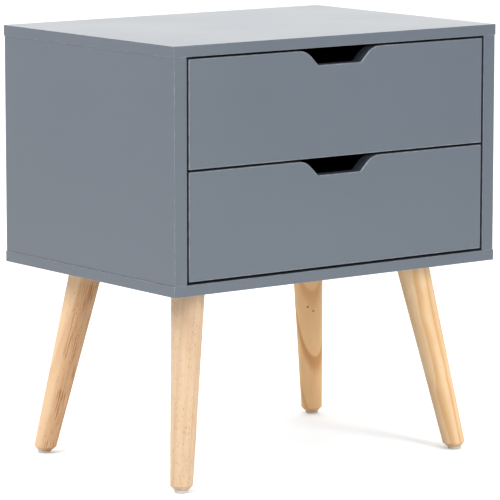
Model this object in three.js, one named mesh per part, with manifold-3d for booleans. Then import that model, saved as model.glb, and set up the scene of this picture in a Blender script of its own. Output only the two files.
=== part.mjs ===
// A nightstand with two drawers on four splayed, tapered wooden legs.
// Millimetres, +Z up. The front faces -Y, and the origin is on the floor under the middle of the case.

import * as THREE from 'three';
import { mergeVertices } from 'three/addons/utils/BufferGeometryUtils.js';
import Module from 'manifold-3d';

// ---------------------------------------------------------------- driving dimensions

// Case
const WIDTH = 550;
const DEPTH = 400;
const HEIGHT = 600;
const CASE_HEIGHT = 330;
const TOP_THICKNESS = 15;
const BOTTOM_THICKNESS = 15;
const SIDE_THICKNESS = 20;
const SIDE_LIP = 1; // the top and bottom boards stand out past the side boards
const END_LIP = 0.5; // the same, at the front and the back
const BACK_THICKNESS = 4;
const BACK_INSET = 10;
const GROOVE_DEPTH = 6;

// Drawers
const SIDE_GAP = 3.2;
const TOP_GAP = 3;
const MIDDLE_GAP = 3;
const BOTTOM_GAP = 3.5;
const FRONT_THICKNESS = 20;
const DRAWER_REAR_SPACE = 15; // from the drawer to the back panel
const DRAWER_SIDE_THICKNESS = 12;
const DRAWER_SIDE_LIFT = 12; // from the bottom edge of the front up to the bottom edge of the sides
const DRAWER_SIDE_DROP = 33; // from the top edge of the front down to the top edge of the sides
const DRAWER_BOTTOM_THICKNESS = 3;
const DRAWER_BOTTOM_LIFT = 8;
const DRAWER_GROOVE_DEPTH = 5;

// Finger cut-out in the top edge of each drawer front
const NOTCH_DEPTH = 20.5;
const NOTCH_FLOOR_WIDTH = 72;
const NOTCH_SLOPE = THREE.MathUtils.degToRad(45);
const NOTCH_SHOULDER_RADIUS = 30;
const NOTCH_CORNER_RADIUS = 4;

// Roller runners
const RUNNER_SPACE = 12.5; // between a drawer side and the side board
const RUNNER_SETBACK = 1; // behind the drawer front
const RUNNER_END_PLAY = 4;
const RUNNER_HOLD = 90; // how much of its length stays in the case when the drawer is open
const RUNNER_STEEL = 1.2;
const RUNNER_SIDE_PLAY = 1.8; // beside the rollers, and from the channel's flanges to the rail
const RUNNER_FOOT = 11; // flange under the drawer side
const ROLLER_RADIUS = 9;
const ROLLER_BEVEL = 0.5;
const ROLLER_FROM_END = 12;
const RIVET_RADIUS = 2.5;
const RIVET_HEAD_RADIUS = 4;
const RIVET_HEAD_THICKNESS = 0.7;
const LIP_CLEARANCE = 1.5; // from the drawer's rail up to the channel's top flange
const STOP_HEIGHT = 3;
const STOP_LENGTH = 6;

// Legs
const LEG_INSET = 82; // from the edges of the case to the leg's axis, at the underside
const LEG_SPLAY = THREE.MathUtils.degToRad(13.5);
const LEG_TOP_RADIUS = 22.75;
const LEG_FOOT_RADIUS = 15.2;
const LEG_TOP_BEVEL = 1.5;
const LEG_TRIM = 27; // how far the turned blank runs on past the foot, before that is cut
const FOOT_TILT = THREE.MathUtils.degToRad(6); // of the leg's end face, away from level
const FOOT_FACE_RADIUS = 9.8;
const FOOT_BEVEL = THREE.MathUtils.degToRad(45);
const GLIDE_RADIUS = 9.4;
const GLIDE_HEIGHT = 3.8;
const GLIDE_BEVEL = 0.8;
const NAIL_RADIUS = 1.2;
const NAIL_LENGTH = 15;
const SEAT_RIM = 2.25; // of the plate's seat, around the leg's top
const SEAT_MARGIN = 0.6;
const PLATE_RIM = 10; // around the seat
const PLATE_THICKNESS = 3;
const PLATE_CORNER_RADIUS = 6;
const PLATE_SCREW_INSET = 9;
const PLATE_SCREW_HOLE_RADIUS = 2.5;
const HANGER_RADIUS = 4;
const HANGER_LENGTH_IN_LEG = 35;
const HANGER_TOP_DROP = 1.5;

// Fittings
const CAM_RADIUS = 7.5;
const CAM_DEPTH = 12.5;
const DRAWER_CAM_DEPTH = 9.5;
const CAM_DISTANCE = 24; // from the end of the board to the cam's centre
const CAM_BOLT_RADIUS = 3;
const CAM_BOLT_REACH = 10; // into the neighbouring board
const CAM_FROM_FRONT = 50;
const DRAWER_CAM_LIFT = 60;
const SCREW_RADIUS = 2.6;
const SCREW_HEAD_RADIUS = 5;
const SCREW_HEAD_HEIGHT = 4;
const SCREW_LENGTH = 50;
const SCREW_POINT = 3;
const SCREW_SINK = 0.2;

// Clearances
const FIT = 0.3; // between pieces that are cut for one another
const AXLE_FIT = 0.2; // between a roller and its rivet
const FACE_SINK = 0.2; // of a cam below the board's face
const OVERCUT = 1; // how far a cutter runs past the face that it opens
const MERGE_DISTANCE = 1e-4; // between corners that are one corner

const ROUND_SEGMENTS = 16;
const ROLLER_SEGMENTS = 24;
const LEG_SEGMENTS = 24;
const CURVE_SEGMENTS = 12;

// ---------------------------------------------------------------- derived places

const CLEARANCE = HEIGHT - CASE_HEIGHT; // under the case
const SIDE_OUTER = WIDTH / 2 - SIDE_LIP;
const SIDE_INNER = SIDE_OUTER - SIDE_THICKNESS;
const CASE_FRONT = -DEPTH / 2 + END_LIP;
const CASE_REAR = DEPTH / 2 - END_LIP;
const SIDE_BOTTOM = CLEARANCE + BOTTOM_THICKNESS;
const SIDE_TOP = HEIGHT - TOP_THICKNESS;
const FRONT_WIDTH = 2 * (SIDE_INNER - SIDE_GAP);
const FRONT_HEIGHT = (SIDE_TOP - SIDE_BOTTOM - TOP_GAP - MIDDLE_GAP - BOTTOM_GAP) / 2;
const FRONT_REAR = CASE_FRONT + FRONT_THICKNESS;
const BACK_REAR = CASE_REAR - BACK_INSET;
const BACK_FRONT = BACK_REAR - BACK_THICKNESS;
const DRAWER_REAR = BACK_FRONT - DRAWER_REAR_SPACE;
const DRAWER_OUTER = SIDE_INNER - RUNNER_SPACE;
const DRAWER_INNER = DRAWER_OUTER - DRAWER_SIDE_THICKNESS;
const ROLLER_X = SIDE_INNER - RUNNER_SPACE / 2;
const ROLLER_WIDTH = RUNNER_SPACE - 2 * RUNNER_STEEL - 2 * RUNNER_SIDE_PLAY;
const RUNNER_FLANGE = RUNNER_SPACE - RUNNER_STEEL - RUNNER_SIDE_PLAY;
const RUNNER_LENGTH = DRAWER_REAR - FRONT_REAR;
const DRAWER_TRAVEL = RUNNER_LENGTH - RUNNER_HOLD;
const RUNNER_FRONT = FRONT_REAR + RUNNER_SETBACK;
const CHANNEL_ROLLER_Y = RUNNER_FRONT + ROLLER_FROM_END;
const RAIL_REAR = RUNNER_FRONT + RUNNER_LENGTH - RUNNER_END_PLAY;
const RAIL_ROLLER_Y = RAIL_REAR - ROLLER_FROM_END;
const RAIL_TOP = RUNNER_STEEL + FIT + 2 * ROLLER_RADIUS + FIT + RUNNER_STEEL; // above the channel's base
const CHANNEL_HEIGHT = RAIL_TOP + LIP_CLEARANCE + RUNNER_STEEL;
const SEAT_RADIUS = LEG_TOP_RADIUS + SEAT_RIM;
const PLATE_SIZE = 2 * (SEAT_RADIUS + PLATE_RIM);

// ---------------------------------------------------------------- materials

const material = (color, roughness, metalness = 0) =>
  new THREE.MeshStandardMaterial({ color, roughness, metalness });
const greyPaint = () => material(0x7c838b, 0.45);
const greyFoil = () => material(0x70767d, 0.6);
const hardboard = () => material(0x6c7176, 0.7);
const wood = () => material(0xe3bd92, 0.6);
const enamelledSteel = () => material(0xe9e8e2, 0.4, 0.1);
const nylon = () => material(0xf1efe8, 0.5);
const zinc = () => material(0x9fa2a4, 0.45, 0.9);
const steel = () => material(0xb3b5b8, 0.35, 1);
const glidePlastic = () => material(0xc9c8c2, 0.5);

// ---------------------------------------------------------------- geometry helpers

const wasm = await Module();
wasm.setup();

function toSolid(geometry) {
  const plain = geometry.clone();
  plain.deleteAttribute('normal');
  plain.deleteAttribute('uv');
  const merged = mergeVertices(plain, MERGE_DISTANCE);
  const vertProperties = new Float32Array(merged.attributes.position.array);
  const triVerts = new Uint32Array(merged.index.array);
  return new wasm.Manifold(new wasm.Mesh({ numProp: 3, vertProperties, triVerts }));
}

function toGeometry(solid) {
  const mesh = solid.getMesh();
  const geometry = new THREE.BufferGeometry();
  geometry.setAttribute('position', new THREE.BufferAttribute(mesh.vertProperties, 3));
  geometry.setIndex(new THREE.BufferAttribute(mesh.triVerts, 1));
  geometry.computeVertexNormals();
  return geometry;
}

function cut(geometry, cutters) {
  return toGeometry(cutters.reduce((solid, cutter) => solid.subtract(toSolid(cutter)), toSolid(geometry)));
}

function join(geometries) {
  return toGeometry(geometries.map(toSolid).reduce((solid, next) => solid.add(next)));
}

function common(a, b) {
  return toGeometry(toSolid(a).intersect(toSolid(b)));
}

// A box from its two extreme corners.
function box(low, high) {
  const size = high.map((value, i) => value - low[i]);
  const centre = high.map((value, i) => (value + low[i]) / 2);
  return new THREE.BoxGeometry(...size).translate(...centre);
}

// The same box on the left (side -1) or the right (side +1), stated for the right.
function sidedBox(side, low, high) {
  const xs = [side * low[0], side * high[0]].sort((a, b) => a - b);
  return box([xs[0], low[1], low[2]], [xs[1], high[1], high[2]]);
}

// Turns a shape's own axes: its x stays, its y becomes +Z, and its z becomes -Y.
const STAND_UP = new THREE.Matrix4().set(1, 0, 0, 0, 0, 0, -1, 0, 0, 1, 0, 0, 0, 0, 0, 1);

// Turns a lathe's axis from Y to +X.
const LAY_DOWN = new THREE.Matrix4().set(0, 1, 0, 0, 0, 0, 1, 0, 1, 0, 0, 0, 0, 0, 0, 1);

// A round rod between two points.
function rod(start, end, radius, segments = ROUND_SEGMENTS) {
  const from = new THREE.Vector3(...start);
  const to = new THREE.Vector3(...end);
  const axis = to.clone().sub(from);
  const turn = new THREE.Quaternion().setFromUnitVectors(
    new THREE.Vector3(0, 1, 0), axis.clone().normalize());
  const middle = from.add(to).multiplyScalar(0.5);
  return new THREE.CylinderGeometry(radius, radius, axis.length(), segments)
    .applyQuaternion(turn)
    .translate(middle.x, middle.y, middle.z);
}

// A lathe about +Z from points of radius and height.
function turned(points, segments = ROUND_SEGMENTS) {
  const profile = points.map(([radius, height]) => new THREE.Vector2(radius, height));
  return new THREE.LatheGeometry(profile, segments).applyMatrix4(STAND_UP);
}

// An outline in X and Z, extruded from yFront to yRear.
function extruded(shape, yFront, yRear) {
  const options = { depth: yRear - yFront, bevelEnabled: false, curveSegments: CURVE_SEGMENTS };
  return new THREE.ExtrudeGeometry(shape, options)
    .applyMatrix4(STAND_UP)
    .translate(0, yRear, 0);
}

// A polygon in X and Z, stated for the right side.
function sidedPolygon(side, points) {
  return new THREE.Shape(points.map(([x, z]) => new THREE.Vector2(side * x, z)));
}

const sides = [
  { name: 'left', side: -1 },
  { name: 'right', side: 1 },
];

const nightstand = new THREE.Group();

function add(parent, name, geometry, meshMaterial) {
  const mesh = new THREE.Mesh(geometry, meshMaterial);
  mesh.name = name;
  parent.add(mesh);
  return mesh;
}

// ---------------------------------------------------------------- case fittings

// A cam in a side board, and its bolt up into the top board. grow widens both into their bores.
function topCam(side, y, grow = 0) {
  const z = SIDE_TOP - CAM_DISTANCE;
  const boltX = side * (SIDE_INNER + SIDE_THICKNESS / 2);
  const mouth = side * (SIDE_INNER + (grow ? -OVERCUT : FACE_SINK));
  const floor = side * (SIDE_INNER + CAM_DEPTH + grow);
  const disc = rod([mouth, y, z], [floor, y, z], CAM_RADIUS + grow);
  const bolt = rod([boltX, y, z], [boltX, y, SIDE_TOP + CAM_BOLT_REACH + grow], CAM_BOLT_RADIUS + grow);
  return join([disc, bolt]);
}

// A countersunk screw, up through the bottom board into a side board.
function bottomScrew(side, y, grow = 0) {
  const x = side * (SIDE_INNER + SIDE_THICKNESS / 2);
  const start = grow ? -OVERCUT : SCREW_SINK;
  const points = [
    [0, start],
    [SCREW_HEAD_RADIUS + grow, start],
    [SCREW_HEAD_RADIUS + grow, SCREW_SINK],
    [SCREW_RADIUS + grow, SCREW_SINK + SCREW_HEAD_HEIGHT],
    [SCREW_RADIUS + grow, SCREW_LENGTH - SCREW_POINT],
    [0, SCREW_LENGTH + grow],
  ];
  const profile = grow ? points : points.filter((point, i) => i !== 1);
  return turned(profile).translate(x, y, CLEARANCE);
}

const fittings = sides.flatMap(({ name, side }) => [
  { side, name: `${name}_front`, y: CASE_FRONT + CAM_FROM_FRONT },
  { side, name: `${name}_rear`, y: CASE_REAR - CAM_FROM_FRONT },
]);

for (const { side, name, y } of fittings) {
  add(nightstand, `${name}_top_cam`, topCam(side, y), zinc());
  add(nightstand, `${name}_bottom_screw`, bottomScrew(side, y), steel());
}

// ---------------------------------------------------------------- case boards

// The groove for the back panel, in all four boards.
const groove = box(
  [-SIDE_INNER - GROOVE_DEPTH, BACK_FRONT - FIT, SIDE_BOTTOM - GROOVE_DEPTH],
  [SIDE_INNER + GROOVE_DEPTH, BACK_REAR + FIT, SIDE_TOP + GROOVE_DEPTH],
);

const camBores = fittings.map(({ side, y }) => topCam(side, y, FIT));
const screwBores = fittings.map(({ side, y }) => bottomScrew(side, y, FIT));

const topBoard = box([-WIDTH / 2, -DEPTH / 2, SIDE_TOP], [WIDTH / 2, DEPTH / 2, HEIGHT]);
add(nightstand, 'top_board', cut(topBoard, [groove, ...camBores]), greyPaint());

const bottomBoard = box([-WIDTH / 2, -DEPTH / 2, CLEARANCE], [WIDTH / 2, DEPTH / 2, SIDE_BOTTOM]);
add(nightstand, 'bottom_board', cut(bottomBoard, [groove, ...screwBores]), greyPaint());

for (const { name, side } of sides) {
  const board = sidedBox(side, [SIDE_INNER, CASE_FRONT, SIDE_BOTTOM], [SIDE_OUTER, CASE_REAR, SIDE_TOP]);
  add(nightstand, `${name}_side_board`, cut(board, [groove, ...camBores, ...screwBores]), greyPaint());
}

const backReach = GROOVE_DEPTH - FIT;
const backPanel = box(
  [-SIDE_INNER - backReach, BACK_FRONT, SIDE_BOTTOM - backReach],
  [SIDE_INNER + backReach, BACK_REAR, SIDE_TOP + backReach],
);
add(nightstand, 'back_panel', backPanel, hardboard());

// ---------------------------------------------------------------- roller runners

// A rivet along X with a head that keeps the roller on. root is inside the steel that holds it.
function rivet(side, root, end, y, z) {
  const head = end + Math.sign(end - root) * RIVET_HEAD_THICKNESS;
  return [
    rod([side * root, y, z], [side * head, y, z], RIVET_RADIUS),
    rod([side * end, y, z], [side * head, y, z], RIVET_HEAD_RADIUS),
  ];
}

function roller() {
  const half = ROLLER_WIDTH / 2;
  const bore = RIVET_RADIUS + AXLE_FIT;
  const points = [
    [bore, -half],
    [ROLLER_RADIUS - ROLLER_BEVEL, -half],
    [ROLLER_RADIUS, -half + ROLLER_BEVEL],
    [ROLLER_RADIUS, half - ROLLER_BEVEL],
    [ROLLER_RADIUS - ROLLER_BEVEL, half],
    [bore, half],
    [bore, -half],
  ];
  const profile = points.map(([radius, height]) => new THREE.Vector2(radius, height));
  return new THREE.LatheGeometry(profile, ROLLER_SEGMENTS).applyMatrix4(LAY_DOWN);
}

const rollerHalf = ROLLER_WIDTH / 2 + AXLE_FIT;
const rollerRise = RUNNER_STEEL + FIT + ROLLER_RADIUS; // its centre, above the channel's base

// The channel on the side board: open towards the drawer, closed at the rear, with a stop for the
// drawer's roller and a roller of its own at the front. Heights count from its base.
function channel(side) {
  const inner = SIDE_INNER - RUNNER_FLANGE;
  const web = SIDE_INNER - RUNNER_STEEL;
  const rear = RUNNER_FRONT + RUNNER_LENGTH;
  const outline = sidedPolygon(side, [
    [SIDE_INNER, 0],
    [SIDE_INNER, CHANNEL_HEIGHT],
    [inner, CHANNEL_HEIGHT],
    [inner, CHANNEL_HEIGHT - RUNNER_STEEL],
    [web, CHANNEL_HEIGHT - RUNNER_STEEL],
    [web, RUNNER_STEEL],
    [inner, RUNNER_STEEL],
    [inner, 0],
  ]);
  const stopDrop = STOP_HEIGHT - FIT;
  const stopReach = Math.sqrt(ROLLER_RADIUS ** 2 - (ROLLER_RADIUS - stopDrop) ** 2);
  const stopRear = RAIL_ROLLER_Y - DRAWER_TRAVEL - stopReach - FIT;
  const stopTop = RUNNER_STEEL + STOP_HEIGHT;
  return join([
    extruded(outline, RUNNER_FRONT, rear),
    sidedBox(side, [inner, rear - RUNNER_STEEL, 0], [SIDE_INNER, rear, CHANNEL_HEIGHT]),
    sidedBox(side, [inner, stopRear - STOP_LENGTH, 0], [SIDE_INNER, stopRear, stopTop]),
    ...rivet(side, web + RUNNER_STEEL / 2, ROLLER_X - rollerHalf, CHANNEL_ROLLER_Y, rollerRise),
  ]);
}

// The rail under the drawer side: a foot under the board, a web beside it and a lip that rides on the
// channel's roller, with a roller of its own at the rear. Heights count from the channel's base.
function rail(side) {
  const web = DRAWER_OUTER + RUNNER_STEEL;
  const lip = SIDE_INNER - RUNNER_STEEL - RUNNER_STEEL;
  const outline = sidedPolygon(side, [
    [DRAWER_OUTER - RUNNER_FOOT, 0],
    [web, 0],
    [web, RAIL_TOP - RUNNER_STEEL],
    [lip, RAIL_TOP - RUNNER_STEEL],
    [lip, RAIL_TOP],
    [DRAWER_OUTER, RAIL_TOP],
    [DRAWER_OUTER, RUNNER_STEEL],
    [DRAWER_OUTER - RUNNER_FOOT, RUNNER_STEEL],
  ]);
  return join([
    extruded(outline, RUNNER_FRONT, RAIL_REAR),
    ...rivet(side, web - RUNNER_STEEL / 2, ROLLER_X + rollerHalf, RAIL_ROLLER_Y, rollerRise),
  ]);
}

// ---------------------------------------------------------------- drawers

// A drawer front's outline, from its bottom edge up, with the finger cut-out in its top edge.
function frontOutline() {
  const half = FRONT_WIDTH / 2;
  const floor = FRONT_HEIGHT - NOTCH_DEPTH;
  const quarter = Math.PI / 2;
  const bend = Math.tan(NOTCH_SLOPE / 2);
  const cornerX = NOTCH_FLOOR_WIDTH / 2 - NOTCH_CORNER_RADIUS * bend;
  const cornerZ = floor + NOTCH_CORNER_RADIUS;
  const brink = NOTCH_FLOOR_WIDTH / 2 + NOTCH_DEPTH / Math.tan(NOTCH_SLOPE);
  const shoulderX = brink + NOTCH_SHOULDER_RADIUS * bend;
  const shoulderZ = FRONT_HEIGHT - NOTCH_SHOULDER_RADIUS;
  const shape = new THREE.Shape();
  shape.moveTo(-half, 0);
  shape.lineTo(half, 0);
  shape.lineTo(half, FRONT_HEIGHT);
  shape.absarc(shoulderX, shoulderZ, NOTCH_SHOULDER_RADIUS, quarter, quarter + NOTCH_SLOPE, false);
  shape.absarc(cornerX, cornerZ, NOTCH_CORNER_RADIUS, NOTCH_SLOPE - quarter, -quarter, true);
  shape.absarc(-cornerX, cornerZ, NOTCH_CORNER_RADIUS, -quarter, -quarter - NOTCH_SLOPE, true);
  shape.absarc(-shoulderX, shoulderZ, NOTCH_SHOULDER_RADIUS, quarter - NOTCH_SLOPE, quarter, false);
  shape.lineTo(-half, FRONT_HEIGHT);
  shape.closePath();
  return shape;
}

// A cam in a drawer side, and its bolt forward into the front. grow widens both into their bores.
function drawerCam(side, grow = 0) {
  const z = DRAWER_SIDE_LIFT + DRAWER_CAM_LIFT;
  const y = FRONT_REAR + CAM_DISTANCE;
  const boltX = side * (DRAWER_INNER + DRAWER_SIDE_THICKNESS / 2);
  const mouth = side * (DRAWER_INNER + (grow ? -OVERCUT : FACE_SINK));
  const floor = side * (DRAWER_INNER + DRAWER_CAM_DEPTH + grow);
  const disc = rod([mouth, y, z], [floor, y, z], CAM_RADIUS + grow);
  const bolt = rod([boltX, y, z], [boltX, FRONT_REAR - CAM_BOLT_REACH - grow, z], CAM_BOLT_RADIUS + grow);
  return join([disc, bolt]);
}

const drawerBottomLow = DRAWER_SIDE_LIFT + DRAWER_BOTTOM_LIFT;
const drawerBottomHigh = drawerBottomLow + DRAWER_BOTTOM_THICKNESS;
const drawerSideTop = FRONT_HEIGHT - DRAWER_SIDE_DROP;
const channelBase = DRAWER_SIDE_LIFT - RUNNER_STEEL;
const drawerGroove = box(
  [-DRAWER_INNER - DRAWER_GROOVE_DEPTH, FRONT_REAR - DRAWER_GROOVE_DEPTH, drawerBottomLow - FIT],
  [DRAWER_INNER + DRAWER_GROOVE_DEPTH, DRAWER_REAR + OVERCUT, drawerBottomHigh + FIT],
);

function addDrawer(level, bottomEdge) {
  // Heights inside the group count from the bottom edge of the drawer front.
  const group = new THREE.Group();
  group.position.z = bottomEdge;
  nightstand.add(group);

  const bores = sides.map(({ side }) => drawerCam(side, FIT));
  const front = extruded(frontOutline(), CASE_FRONT, FRONT_REAR);
  add(group, `${level}_drawer_front`, cut(front, [drawerGroove, ...bores]), greyPaint());

  for (const { name, side } of sides) {
    const board = sidedBox(
      side,
      [DRAWER_INNER, FRONT_REAR, DRAWER_SIDE_LIFT],
      [DRAWER_OUTER, DRAWER_REAR, drawerSideTop],
    );
    add(group, `${level}_drawer_${name}_side`, cut(board, [drawerGroove, ...bores]), greyFoil());
    add(group, `${level}_drawer_${name}_cam`, drawerCam(side), zinc());

    const railMesh = add(group, `${level}_${name}_drawer_rail`, rail(side), enamelledSteel());
    const channelMesh = add(group, `${level}_${name}_case_channel`, channel(side), enamelledSteel());
    const railRoller = add(group, `${level}_${name}_rail_roller`, roller(), nylon());
    const channelRoller = add(group, `${level}_${name}_channel_roller`, roller(), nylon());
    railMesh.position.z = channelBase;
    channelMesh.position.z = channelBase;
    railRoller.position.set(side * ROLLER_X, RAIL_ROLLER_Y, channelBase + rollerRise);
    channelRoller.position.set(side * ROLLER_X, CHANNEL_ROLLER_Y, channelBase + rollerRise);
  }

  const back = box(
    [-DRAWER_INNER, DRAWER_REAR - DRAWER_SIDE_THICKNESS, drawerBottomHigh + FIT],
    [DRAWER_INNER, DRAWER_REAR, drawerSideTop],
  );
  add(group, `${level}_drawer_back`, back, greyFoil());

  const reach = DRAWER_GROOVE_DEPTH - FIT;
  const bottom = box(
    [-DRAWER_INNER - reach, FRONT_REAR - reach, drawerBottomLow],
    [DRAWER_INNER + reach, DRAWER_REAR, drawerBottomHigh],
  );
  add(group, `${level}_drawer_bottom`, bottom, hardboard());
}

addDrawer('lower', SIDE_BOTTOM + BOTTOM_GAP);
addDrawer('upper', SIDE_BOTTOM + BOTTOM_GAP + FRONT_HEIGHT + MIDDLE_GAP);

// ---------------------------------------------------------------- legs

// Each leg stands in a group at the point where its axis meets the underside, with +X outward along
// the diagonal. Distances along the leg's axis count down from there.
const legLength = (CLEARANCE - GLIDE_HEIGHT) / Math.cos(LEG_SPLAY);
const seatDrop = (PLATE_THICKNESS + SEAT_RADIUS * Math.sin(LEG_SPLAY) + SEAT_MARGIN) / Math.cos(LEG_SPLAY);
const legTop = seatDrop + FIT;

// A point on the leg's axis, in its group.
const onAxis = (distance) => [Math.sin(LEG_SPLAY) * distance, 0, -Math.cos(LEG_SPLAY) * distance];

// The leg's end face leans less than the leg does. These turn and place what is square to it.
const footCentre = onAxis(legLength);
const ontoFoot = (geometry) => geometry.rotateY(-FOOT_TILT).translate(...footCentre);

function nail(grow = 0) {
  return ontoFoot(rod([0, 0, -FIT - NAIL_RADIUS], [0, 0, NAIL_LENGTH + grow], NAIL_RADIUS + grow));
}

function leg() {
  const blankEnd = -legLength - LEG_TRIM;
  const profile = [
    [0, blankEnd],
    [LEG_FOOT_RADIUS, blankEnd],
    [LEG_FOOT_RADIUS, -legLength],
    [LEG_TOP_RADIUS, -legTop - LEG_TOP_BEVEL],
    [LEG_TOP_RADIUS - LEG_TOP_BEVEL, -legTop],
    [0, -legTop],
  ];
  const taper = turned(profile, LEG_SEGMENTS).rotateY(-LEG_SPLAY);
  const spread = FOOT_FACE_RADIUS + legLength * Math.tan(FOOT_BEVEL);
  const kept = [
    [0, 0],
    [FOOT_FACE_RADIUS, 0],
    [spread, legLength],
    [0, legLength],
  ];
  const trim = ontoFoot(turned(kept, LEG_SEGMENTS));
  const hangerBore = rod(
    onAxis(legTop - OVERCUT),
    onAxis(legTop + HANGER_LENGTH_IN_LEG + FIT),
    HANGER_RADIUS + FIT,
  );
  return cut(common(taper, trim), [hangerBore, nail(FIT)]);
}

function hangerBolt() {
  return rod(onAxis(HANGER_TOP_DROP), onAxis(legTop + HANGER_LENGTH_IN_LEG), HANGER_RADIUS);
}

// A steel plate with a slanted round seat for the leg's top, and a hole for each of its four screws.
function legPlate() {
  const half = PLATE_SIZE / 2;
  const screw = half - PLATE_SCREW_INSET;
  const centre = half - PLATE_CORNER_RADIUS;
  const quarter = Math.PI / 2;
  const corners = [[1, 1], [-1, 1], [-1, -1], [1, -1]];
  const outline = new THREE.Shape();
  corners.forEach(([x, y], i) => {
    outline.absarc(x * centre, y * centre, PLATE_CORNER_RADIUS, i * quarter, (i + 1) * quarter, false);
  });
  const options = { depth: PLATE_THICKNESS, bevelEnabled: false, curveSegments: CURVE_SEGMENTS / 2 };
  const sheet = new THREE.ExtrudeGeometry(outline, options).translate(0, 0, -PLATE_THICKNESS);
  const seatRoom = box([-half, -half, -half], [half, half, -PLATE_THICKNESS / 2]);
  const seat = common(rod(onAxis(0), onAxis(seatDrop), SEAT_RADIUS, LEG_SEGMENTS), seatRoom);
  const threadBore = rod(onAxis(-OVERCUT), onAxis(seatDrop + OVERCUT), HANGER_RADIUS + FIT);
  const low = -PLATE_THICKNESS - OVERCUT;
  const screwBores = corners.map(([x, y]) =>
    rod([x * screw, y * screw, low], [x * screw, y * screw, OVERCUT], PLATE_SCREW_HOLE_RADIUS));
  return cut(join([sheet, seat]), [threadBore, ...screwBores]);
}

// A round glide with a level foot, nailed to the leg's end face.
function glide() {
  const blankHeight = GLIDE_HEIGHT + GLIDE_RADIUS; // before its top is cut to the end face
  const points = [
    [0, 0],
    [GLIDE_RADIUS - GLIDE_BEVEL, 0],
    [GLIDE_RADIUS, GLIDE_BEVEL],
    [GLIDE_RADIUS, blankHeight],
    [0, blankHeight],
  ];
  const disc = turned(points).translate(footCentre[0], 0, -CLEARANCE);
  const above = ontoFoot(box([-PLATE_SIZE, -PLATE_SIZE, -FIT], [PLATE_SIZE, PLATE_SIZE, PLATE_SIZE]));
  return join([cut(disc, [above]), nail()]);
}

for (const [depthName, y] of [['front', -1], ['rear', 1]]) {
  for (const { name: sideName, side: x } of sides) {
    const name = `${depthName}_${sideName}`;
    const corner = new THREE.Group();
    corner.position.set(x * (WIDTH / 2 - LEG_INSET), y * (DEPTH / 2 - LEG_INSET), CLEARANCE);
    corner.rotation.z = Math.atan2(y, x);
    nightstand.add(corner);
    add(corner, `${name}_leg`, leg(), wood());
    add(corner, `${name}_leg_plate`, legPlate(), steel());
    add(corner, `${name}_hanger_bolt`, hangerBolt(), steel());
    add(corner, `${name}_glide`, glide(), glidePlastic());
  }
}

export default nightstand;
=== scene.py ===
import math

import bmesh
import bpy
from bpy.props import FloatProperty, FloatVectorProperty, IntProperty, PointerProperty
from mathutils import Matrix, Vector


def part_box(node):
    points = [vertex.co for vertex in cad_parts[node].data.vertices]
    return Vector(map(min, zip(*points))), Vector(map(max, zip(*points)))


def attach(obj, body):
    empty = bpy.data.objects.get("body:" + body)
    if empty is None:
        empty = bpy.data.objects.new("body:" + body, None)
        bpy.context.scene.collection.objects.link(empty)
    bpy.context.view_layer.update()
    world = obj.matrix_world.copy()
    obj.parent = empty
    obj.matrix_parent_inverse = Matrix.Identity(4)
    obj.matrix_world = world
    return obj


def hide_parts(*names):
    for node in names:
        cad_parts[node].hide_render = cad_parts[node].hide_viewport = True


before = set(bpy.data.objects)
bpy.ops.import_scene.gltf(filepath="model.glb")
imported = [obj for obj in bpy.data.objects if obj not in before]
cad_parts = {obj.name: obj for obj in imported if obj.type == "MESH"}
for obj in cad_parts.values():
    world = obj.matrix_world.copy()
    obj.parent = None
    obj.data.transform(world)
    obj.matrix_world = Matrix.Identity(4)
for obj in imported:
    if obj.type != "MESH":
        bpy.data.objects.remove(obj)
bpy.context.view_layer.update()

bl_info = {
    "name": "Two-drawer nightstand",
    "version": (1, 0, 0),
    "blender": (4, 5, 0),
    "location": "View3D > Sidebar > Nightstand",
    "description": "Paints the case and drawers, turns the wooden legs and fits the small hardware",
    "category": "Object",
}

MM = 0.001
LEVELS = ("lower", "upper")
SIDES = {"left": -1, "right": 1}
CORNERS = {
    "front_left": (-1, -1),
    "front_right": (1, -1),
    "rear_left": (-1, 1),
    "rear_right": (1, 1),
}
CASE_BOARDS = ("top_board", "bottom_board", "left_side_board", "right_side_board")
# Nearer than this, a vertex lies in a plane.
TOUCHING = 0.02 * MM
# Room left between a turned piece and what it sits against.
SEAT_ROOM = 0.3 * MM
# Where the screws stand along a channel and along a rail, from 0 at the front to 1 at the rear.
CHANNEL_SCREWS = (0.16, 0.55, 0.92)
RAIL_SCREWS = (0.08, 0.5, 0.9)
# Place of each softbox and the length of its side, in metres.
SOFTBOXES = {
    "overhead": ((0.2, 0.0, 3.0), 2.6),
    "left": ((-1.9, 0.1, 1.7), 0.9),
    "front": ((0.3, -2.4, 1.1), 0.9),
}


# ---------------------------------------------------------------- sizes and colours


def length(name, description, millimetres):
    return FloatProperty(
        name=name, description=description, default=millimetres * MM, min=0.0, unit="LENGTH", precision=5
    )


def angle(name, description, degrees):
    return FloatProperty(
        name=name, description=description, default=math.radians(degrees), subtype="ANGLE"
    )


def colour(name, description, red, green, blue):
    return FloatVectorProperty(
        name=name, description=description, default=(red, green, blue), subtype="COLOR", min=0.0, max=1.0
    )


def share(name, description, value):
    return FloatProperty(
        name=name, description=description, default=value, min=0.0, max=1.0, subtype="FACTOR"
    )


def number(name, description, value, **kind):
    return FloatProperty(name=name, description=description, default=value, **kind)


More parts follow.
